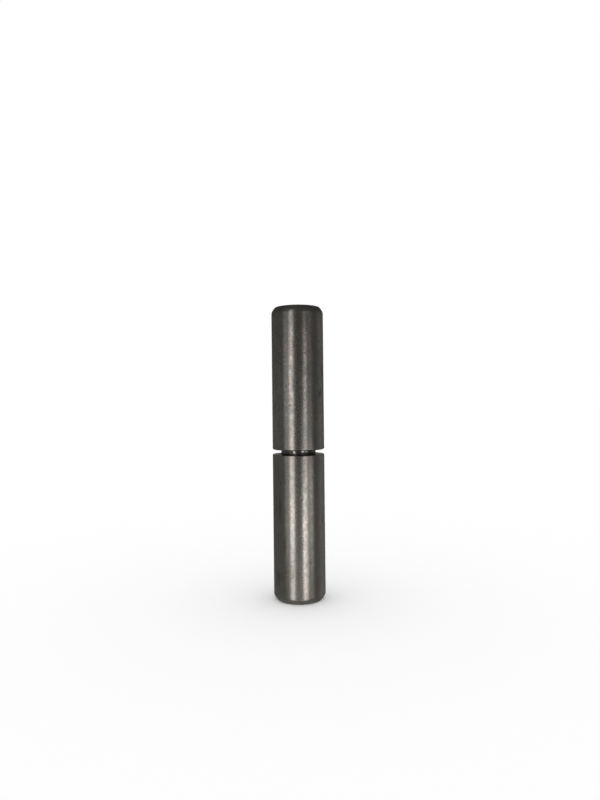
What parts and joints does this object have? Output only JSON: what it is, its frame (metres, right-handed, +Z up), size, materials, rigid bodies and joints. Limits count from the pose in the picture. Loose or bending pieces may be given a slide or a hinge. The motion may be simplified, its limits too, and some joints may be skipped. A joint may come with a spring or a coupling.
{
  "type": "weld on barrel hinge",
  "caption": "Weld-on barrel hinge in turned steel: a blind-bored upper barrel turns on the pin of the lower barrel and lifts off it.",
  "frame": {"origin": "centre of the lower barrel's end face, on the hinge axis", "axes": "+Z up along the hinge axis from the lower barrel to the upper; X and Y are any two directions across it"},
  "size_m": [0.018, 0.018, 0.1009],
  "materials": {
    "drawn_steel": "bare drawn bar, fine grain along its length",
    "ground_steel": "ground smooth",
    "polished_steel": "hardened and polished"
  },
  "bodies": {
    "lower_half": {"lower_barrel": "drawn_steel", "hinge_pin": "ground_steel"},
    "ball_seat": {"thrust_ball": "polished_steel"},
    "upper_half": {"upper_barrel": "drawn_steel"}
  },
  "joints": [
    {"name": "lift_off", "type": "slide", "parent": "lower_half", "child": "ball_seat", "axis": [0, 0, 1], "range_m": [0, 0.04]},
    {"name": "swing", "type": "hinge", "parent": "ball_seat", "child": "upper_half", "pos_m": [0, 0, 0.0763], "axis": [0, 0, 1], "continuous": true}
  ]
}
